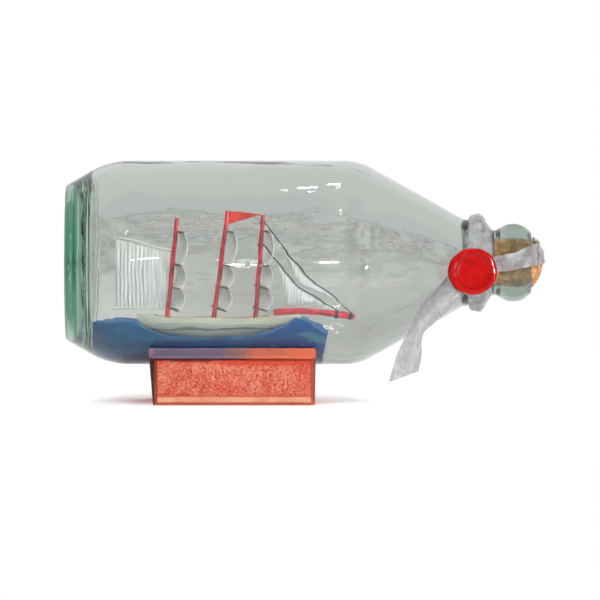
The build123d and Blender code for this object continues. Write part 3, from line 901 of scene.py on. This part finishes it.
def corkFinish():
    paint = Paint("corkBark", {"Roughness": 0.82})
    grain = paint.cloud(2.4, detail=6, rough=0.65)
    cells = {"Scale": 1 / (1.7 * mm), "Vector": paint.place((0.5, 1, 1))}
    pores = paint.make("ShaderNodeTexVoronoi", {}, cells, "Distance")
    colour = paint.blend(paint.curve(grain, (0.35, 0), (0.65, 1)), corkShape["dark"], corkShape["light"])
    holes = paint.curve(pores, (0.08, 1), (0.2, 0))
    return paint.coat(paint.blend(holes * 0.8, colour, corkShape["dark"]), grain - holes * 0.6, 0.8, 0.3)


def makeCork():
    low, high = span["cork"]
    radius = (high.z - low.z) / 2
    rim = mouthX + corkShape["rim"]
    chamfer = corkShape["chamfer"]
    corners = [
        (low.x, 0, 0),
        (low.x, radius - chamfer, 0.3),
        (low.x + chamfer, radius, 0.3),
        (rim, radius, 0.8),
        (high.x - 1.0, radius * 0.55, 12),
        (high.x, 0, 0),
    ]
    bm = bmesh.new()
    roundedLine(bm, corners, corkShape["step"])
    spinRound(bm, corkShape["turns"], (0, 0, axisZ), (1, 0, 0))
    for vert in bm.verts:
        out = Vector((0, vert.co.y, vert.co.z - axisZ))
        pit = max(ruffle(vert.co, 1.1) - 0.15, 0) + max(ruffle(vert.co, 2.6, 7) - 0.2, 0)
        if out.length > 0.5:
            vert.co -= out.normalized() * pit * corkShape["pits"] * 2
        if vert.co.x > rim:
            vert.co.x -= pit * corkShape["pits"]
    buildPiece(bm, "corkStopper", "cork", corkFinish(), ["cork"])
    print("cork made")


# Cradle: clear red plastic with a pebbled panel let into the front and the back
cradle = {
    "recess": 0.4,
    "backing": 0.25,  # of a panel, behind its recess
    "border": 1.6,
    "foot": 3.6,
    "height": 13.2,
    "aftSlant": 1.8,
    "foreSlant": 0.4,
    "pebble": 0.3,
    "pebbleSize": 1.5,
    "pebbleEdge": 0.9,  # the pebbles grow over this
    "cells": (170, 52),
    "bandFoot": 1.1,  # the plain band below the panel's pebbles, painted pale as a highlight
    "gauge": 20,  # the finishes count heights in this
    "red": (0.59, 0.07, 0.028, 1),
    "deepRed": (0.31, 0.02, 0.01, 1),
    "pale": (0.74, 0.30, 0.18, 1),
    # painted highlight on the plain band at the panel's foot
    "cream": (0.74, 0.45, 0.29, 1),
    "strong": (0.6, 0.05, 0.01, 1),  # painted shade under the rim on the panel's brow, and the deeper red of its fore end
    # painted shade, for the dark line at the rim's foot and the shadow under it
    "edge": (0.22, 0.02, 0.015, 1),
    # the rim runs from painted shade at its after end, in blue-purple, to painted light at its fore end
    "rim": (0.44, 0.42, 0.62, 1),
    "warm": (1.0, 0.50, 0.32, 1),
    "paintedGlow": (0.66, 0.12, 0.05, 1),  # painted light: a bright orange on the fore end of the rim, where light gathers
    "lit": ((0.62, 0), (0.72, 0.28), (0.8, 0.2), (0.9, 0.45)),  # how much of it, along the rim
    "side": (0.05, 0.025, 0.025, 1),  # the after end's upright edge
    "lampTint": (0.95, 0.5, 0.4, 1),
}


def plasticFinish():
    paint = Paint("redPlastic", {"Roughness": 0.05, "IOR": 1.25, "Transmission Weight": 0.85})
    low, high = span["cradle"]
    flow = paint.cloud(14, detail=2)
    uneven = flow - 0.5
    forward = paint.share("X", low.x, high.x)
    height = paint.share("Z", 0, cradle["gauge"])
    body = paint.blend(flow, cradle["red"], cradle["pale"])
    # painted shade and light along the rim, from dark blue-purple aft to bright orange forward
    fore = paint.curve(forward + uneven * 0.5, (0.4, 0), (0.8, 1))
    clear = paint.blend(fore, cradle["rim"], cradle["warm"])
    above = paint.curve(height, (0.84, 0), (0.88, 1))
    # painted shade: a dark line along the foot of the rim
    edge = paint.curve(height, (0.835, 0), (0.845, 1), (0.865, 1), (0.88, 0))
    colour = paint.blend(edge, paint.blend(above, body, clear), cradle["edge"])
    after = paint.curve(forward, (0.03, 1), (0.045, 0)) * (1 - above)
    bump = paint.relief(flow, 0.15, 0.6)
    paint.put({"Base Color": paint.blend(after, colour, cradle["side"]), "Normal": bump})
    # painted light: an orange diffuse patch mixed onto the rim's fore end
    paintedGlow = paint.make("ShaderNodeBsdfDiffuse", {}, {"Color": cradle["paintedGlow"], "Normal": bump})
    lit = paint.curve(forward + uneven * 0.4, *cradle["lit"]) * above
    return paint.letLampsThrough(cradle["lampTint"], paint.mixShaders(lit, paint.solid, paintedGlow)).material


def pebbleFinish():
    paint = Paint("pebbledPlastic", {"Roughness": 0.28, "IOR": 1.49, "Transmission Weight": 0.45})
    low, high = span["cradle"]
    grit = paint.cloud(0.9, detail=3, rough=0.7)
    patch = paint.cloud(5, detail=3)
    uneven = patch - 0.5
    forward = paint.share("X", low.x, high.x)
    height = paint.share("Z", 0, cradle["gauge"])
    # painted shade: a deeper red brow under the rim, on the fore part of the panel
    brow = paint.curve(height + uneven * 0.06, (0.72, 0), (0.76, 1))
    brow = brow * paint.curve(forward, (0.3, 0), (0.55, 1))
    fore = paint.curve(forward + uneven * 0.1, (0.88, 0), (0.95, 0.5))
    strong = paint.curve(brow + fore, (0, 0), (1, 1))
    share = paint.curve(grit + patch * 0.4, (0.62, 0), (0.84, 1))
    body = paint.blend(paint.curve(grit, (0.3, 0), (0.5, 1)), cradle["deepRed"], cradle["red"])
    body = paint.blend(share, body, cradle["pale"])
    body = paint.blend(strong * 0.85, body, cradle["strong"])
    # painted shadow: a dark band under the rim, on the after part of the panel
    paintedShadow = paint.curve(forward + uneven * 0.1, (0.08, 0), (0.16, 1), (0.34, 1), (0.46, 0))
    paintedShadow = paintedShadow * paint.curve(height + uneven * 0.02, (0.79, 0), (0.81, 1))
    body = paint.blend(paintedShadow * 0.8, body, cradle["edge"])
    # painted highlight: the plain band at the panel's foot turns cream
    plain = paint.curve(height * 2, (0.33, 1), (0.38, 0))
    streak = paint.curve(paint.cloud(3, detail=2, stretch=(0.4, 1, 1)), (0.4, 0.55), (0.6, 1))
    paint.letLampsThrough(cradle["lampTint"])
    return paint.coat(paint.blend(plain * streak, body, cradle["cream"]), grit, 0.5, 0.15)


def makePanels():
    low, high = span["cradle"]
    first = low.x + cradle["aftSlant"] + cradle["border"]
    last = high.x - cradle["foreSlant"] - cradle["border"]
    bottom, foot, top = cradle["bandFoot"], cradle["foot"], cradle["foot"] + cradle["height"]
    finish = pebbleFinish()
    for name, side, face in (("panelFront", -1, low.y), ("panelBack", 1, high.y)):

        def panelPoint(u, v):
            x, z = first + (last - first) * u, bottom + (top - bottom) * v
            flat = softStep(min(x - first, last - x, z - foot, top - z), 0, cradle["pebbleEdge"])
            bump = noise.noise(Vector((x, z, 3 * side)) / cradle["pebbleSize"])
            bump += 0.5 * noise.noise(Vector((x, z, 9)) / cradle["pebbleSize"] * 2.1)
            depth = cradle["recess"] - cradle["pebble"] * flat * (0.55 + bump)
            plain = 1 - softStep(z, foot - 0.5, foot)
            depth = max(depth, 0.02) * (1 - plain) - 0.04 * plain
            return x, face - side * depth, z

        bm = bmesh.new()
        layGrid(bm, cradle["cells"], panelPoint)
        back = bmesh.ops.extrude_face_region(bm, geom=bm.faces[:])
        verts = [part for part in back["geom"] if isinstance(part, bmesh.types.BMVert)]
        for vert in verts:
            vert.co.y = face - side * (cradle["recess"] + cradle["backing"])
        buildPiece(bm, name, "stand", finish)
    dress("cradle", plasticFinish())
    print("cradle made")


# Ship: painted wood, paper sails and thread
ship = {
    "cream": (0.68, 0.64, 0.50, 1),
    "grey": (0.50, 0.49, 0.385, 1),
    "line": (0.10, 0.11, 0.09, 1),
    "bandFoot": -1.25,  # heights from the deck
    "lineTop": -2.4,
    "lineFoot": -3.1,
    "strakes": 0.9,  # for each millimetre of the hull's height
    "plank": 0.9,  # the breadth of the deck's planks
    "deckWood": ((0.46, 0.33, 0.17, 1), (0.68, 0.55, 0.34, 1)),
    "deckSeam": (0.12, 0.08, 0.05, 1),
    "red": (0.72, 0.02, 0.04, 1),
    "darkRed": (0.36, 0.012, 0.025, 1),
    "yardWood": ((0.09, 0.055, 0.035, 1), (0.26, 0.17, 0.1, 1)),
    "paleWood": ((0.55, 0.52, 0.45, 1), (0.74, 0.72, 0.66, 1)),
    "wire": ((0.55, 0.40, 0.16, 1), (0.78, 0.62, 0.30, 1)),
    "blackThread": ((0.006, 0.006, 0.007, 1), (0.035, 0.035, 0.04, 1)),
    "redThread": ((0.2, 0.02, 0.03, 1), (0.42, 0.05, 0.06, 1)),
    "redPaper": ((0.48, 0.014, 0.007, 1), (0.60, 0.028, 0.012, 1)),
    "sailThick": 0.2,
    "brace": 12,  # degrees that the yards are turned
}
brace = math.radians(ship["brace"])
yardWay = Vector((-math.sin(brace), math.cos(brace), 0))
sailWay = Vector((math.cos(brace), math.sin(brace), 0))


def hullFinish():
    paint = Paint("hullPaint", {"Roughness": 0.5})
    height = paint.share("Z", deckTop, deckTop + 1)
    grime = paint.cloud(5, detail=4)
    level = height + (grime - 0.5) * 0.5
    upper = paint.curve((level - ship["bandFoot"]) * 2, (0.0, 0), (1.0, 1))
    base = paint.blend(upper, ship["grey"], ship["cream"])
    middle = (ship["lineTop"] + ship["lineFoot"]) / 2
    line = paint.curve(paint.sole("ABSOLUTE", level - middle), (0.25, 1), (0.5, 0))
    seam = paint.curve(paint.sole("FRACT", height * ship["strakes"]), (0.0, 1), (0.1, 0))
    colour = paint.blend(line * 0.85, base, ship["line"])
    colour = paint.blend(seam * 0.25 + grime * 0.25, colour, ship["grey"])
    return paint.coat(colour, seam * -1 + grime * 0.3, 0.6, 0.12)


def deckFinish():
    paint = Paint("deckPlanks", {"Roughness": 0.6})
    grain = paint.cloud(2, detail=5, stretch=(0.12, 1, 1))
    seam = paint.curve(paint.sole("FRACT", paint.share("Y", 0, ship["plank"])), (0.0, 1), (0.14, 0))
    wood = paint.blend(grain, *ship["deckWood"])
    return paint.coat(paint.blend(seam * 0.7, wood, ship["deckSeam"]), grain * 0.4 - seam, 0.5, 0.08)


def redFinish():
    paint = Paint("redPaint", {"Roughness": 0.38, "Coat Weight": 0.15})
    uneven = paint.cloud(2.6, detail=4)
    colour = paint.blend(paint.curve(uneven, (0.42, 0), (0.62, 1)), ship["darkRed"], ship["red"])
    return paint.coat(colour, uneven, 0.4, 0.12)


def mottledFinish(name, shades, settings, size, detail, bump, stretch=(1, 1, 1)):
    # two shades in patches, which stand out a little
    paint = Paint(name, settings)
    patches = paint.cloud(size, detail, stretch=stretch)
    return paint.coat(paint.blend(patches, *shades), patches, *bump)


def sparFinish(name):
    return mottledFinish(name, ship[name], {"Roughness": 0.6}, 1.2, 4, (0.4, 0.08), (1, 0.15, 1))


def paperFinish(name, look, streaks):
    solid, white = look
    paint = Paint(name, {"Roughness": 0.75, "Alpha": solid})
    fibre = paint.cloud(0.8, detail=5, rough=0.7)
    seam = paint.curve(paint.cloud(0.75, detail=2, stretch=streaks), (0.36, 1), (0.56, 0))
    old, clean = (white * 0.88, white * 0.89, white * 0.89, 1), (white, white, white * 0.99, 1)
    paper = paint.blend(seam * 0.6, paint.blend(fibre, old, clean), (white / 2, white / 2, white / 2, 1))
    return paint.coat(paper, fibre * 0.5 - seam, 0.5, 0.1)


def threadFinish(name):
    return mottledFinish(name, ship[name], {"Roughness": 0.7}, 0.22, 2, (0.6, 0.05))


# Square sails: each hangs between two yards
squareSail = {
    "look": (0.65, 0.98),  # how solid and how white its paper is; whiter than the other sails' paper, as painted light on their shaded side
    "ahead": 0.75,  # of the yards' middles
    "short": 1.2,  # of the yards' ends
    "tuck": 0.25,  # of its foot and its head, inside the yards
    "bellies": (2.6, 2.6, 2.8),  # from the course up
    "roach": 0.6,  # how far the foot is cut up in its middle
    "crumple": 0.12,
}


def yardLine(node):
    # a yard's middle and half its length
    low, high = span[node]
    return (low + high) / 2, (high.y - low.y) / 2 / yardWay.y


def makeSquareSails():
    finish = paperFinish("squareSailPaper", squareSail["look"], (0.1, 0.5, 0.1))
    yards = ("course_foot", "course", "topsail", "topgallant")
    for mast in ("mizzen", "main", "fore"):
        for level, sail in enumerate(("course", "topsail", "topgallant")):
            foot, footHalf = yardLine(f"{mast}_{yards[level]}_yard")
            head, headHalf = yardLine(f"{mast}_{yards[level + 1]}_yard")

            def sailPoint(u, v):
                half = footHalf + (headHalf - footHalf) * v - squareSail["short"]
                bow = math.sin(math.pi * u)
                belly = squareSail["bellies"][level] * math.sin(math.pi * v) ** 0.8 * (0.55 + 0.45 * bow)
                crumple = squareSail["crumple"] * ruffle((u * 12, v * 5, level), 1.7)
                point = foot.lerp(head, v) + yardWay * half * (2 * u - 1)
                point += sailWay * (squareSail["ahead"] + belly + crumple)
                point.z += squareSail["roach"] * bow * (1 - v) ** 3 + squareSail["tuck"] * (1 - 2 * v)
                return point

            name = mast + sail.capitalize() + "Sail"
            node = f"{mast}_{sail}_sail"
            thinSheet(name, sailPoint, (40, 16), ship["sailThick"], finish, node)
    print("square sails made")


spankerSail = {
    "look": (0.9, 0.8),
    "pleat": 0.26,
    "belly": 1.5,
}


def makeSpanker():
    low, high = span["spanker"]
    gaff = span["spanker_gaff"]
    gaffFall = gaff[1].z - gaff[0].z - 0.84
    afterX = low.x + 0.3

    def spankerPoint(u, v):
        luffX = low.x + (high.x - low.x) * (0.945 + 0.05 * v)
        x = afterX + (luffX - afterX) * u
        footZ = low.z + 0.35 * (1 - u)
        headZ = high.z - gaffFall * u
        pleat = spankerSail["pleat"] * math.sin(x * 4.4 + 0.8 * ruffle((x, 0, v * 12), 5))
        belly = spankerSail["belly"] * math.sin(math.pi * u) * math.sin(math.pi * v)
        return Vector((x, pleat - belly, footZ + (headZ - footZ) * v))

    finish = paperFinish("spankerPaper", spankerSail["look"], (1, 0.1, 0.06))
    thinSheet("spankerSail", spankerPoint, (110, 30), ship["sailThick"], finish, "spanker")
    print("spanker made")


# Stays: routes from the stem at the deck, as in the part's source
stays = {
    "outer": {
        "route": (
            (-12.97, 36.4), (-7.6, 29.3), (-2.6, 22.4), (2.8, 16.5), (9.4, 12.0), (15.4, 6.4), (18.9, 3.05),
        ),
        "length": 46.4,
        "clew": (-1.2, 14.4),  # the after corner of the jib that hangs on it
    },
    "inner": {
        "route": ((-13.55, 28.4), (-8.4, 22.3), (-3.2, 15.2), (2.6, 10.4), (9.2, 6.8), (13.6, 3.95)),
        "length": 37.0,
        "clew": (-5.0, 6.0),
    },
}
stayDiameter = 0.5


def makeStays():
    finish = threadFinish("blackThread")
    redThread = threadFinish("redThread")
    for name, stay in stays.items():
        curve = bpy.data.curves.new(name + "Stay", "CURVE")
        curve.dimensions = "3D"
        spline = curve.splines.new("NURBS")
        points = [((stemX + x) * mm, 0, (deckTop + z) * mm, 1) for x, z in stay["route"]]
        spline.points.add(len(points) - 1)
        for point, place in zip(spline.points, points):
            point.co = place
        spline.order_u = 3
        spline.use_endpoint_u = True
        curve.bevel_depth = stayDiameter / 2 * mm
        curve.bevel_resolution = 3
        curve.use_fill_caps = True
        curve.materials.append(finish)
        piece = addObject(name + "Stay", curve)
        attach(piece, "bottle")
        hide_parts(name + "_stay")
        dress(name + "_stay_head_lashing", redThread)
        dress(name + "_stay_foot_lashing", finish)
    print("stays made")


jib = {
    "look": (0.9, 0.74),
    "offStay": (-0.35, -0.5),
    "pleat": 0.14,
    "belly": 0.9,
}


def makeJibs():
    finish = paperFinish("jibPaper", jib["look"], (1, 0.1, 0.06))
    for name, stay in stays.items():
        luff = [Vector((stemX + x, deckTop + z)) for x, z in stay["route"]][1:-1]
        clew = Vector((stemX + stay["clew"][0], deckTop + stay["clew"][1]))

        def jibPoint(u, v):
            edge = smoothRoute(luff, u) + Vector(jib["offStay"])
            if u < 0.5:
                leech = luff[0].lerp(clew, u * 2)
            else:
                leech = clew.lerp(luff[-1], u * 2 - 1)
            flat = edge.lerp(leech, v)
            pleat = jib["pleat"] * math.sin(flat.x * 5.2)
            belly = jib["belly"] * math.sin(math.pi * v) * math.sin(math.pi * u)
            return Vector((flat.x, pleat - belly, flat.y))

        thinSheet(name + "Jib", jibPoint, (60, 20), ship["sailThick"], finish, name + "_jib")
    print("jibs made")


def makePennant():
    low, high = span["pennant"]

    def pennantPoint(u, v):
        x = low.x + (high.x - low.x) * u
        tall = (high.z - low.z) * (1 - u) ** 1.1 + 0.5
        top = high.z - 0.9 * u
        return Vector((x, 0.7 * math.sin(u * 5.5) * u, top - tall * (1 - v)))

    finish = mottledFinish("redPaper", ship["redPaper"], {"Roughness": 0.55}, 1.4, 4, (0.3, 0.08))
    thinSheet("redPennant", pennantPoint, (40, 12), ship["sailThick"], finish, "pennant")
    print("pennant made")


def dressShip():
    dress("hull", hullFinish())
    dress("deck", deckFinish())
    red, yardWood, paleWood = redFinish(), sparFinish("yardWood"), sparFinish("paleWood")
    metal = {"Metallic": 1.0, "Roughness": 0.32}
    wire = mottledFinish("brassWire", ship["wire"], metal, 0.9, 3, (0.2, 0.03))
    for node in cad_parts:
        if node.endswith("_mast") or node == "bowsprit":
            dress(node, red)
        if node.endswith("_yard"):
            dress(node, yardWood)
        if node in ("spanker_gaff", "spanker_boom"):
            dress(node, paleWood)
        if node.endswith("_staple"):
            dress(node, wire)
    print("ship dressed")


setStudio()
makeBottle()
makeSea()
makeRibbons()
makeSeal()
makeCork()
makePanels()
makeSquareSails()
makeSpanker()
makeStays()
makeJibs()
makePennant()
dressShip()
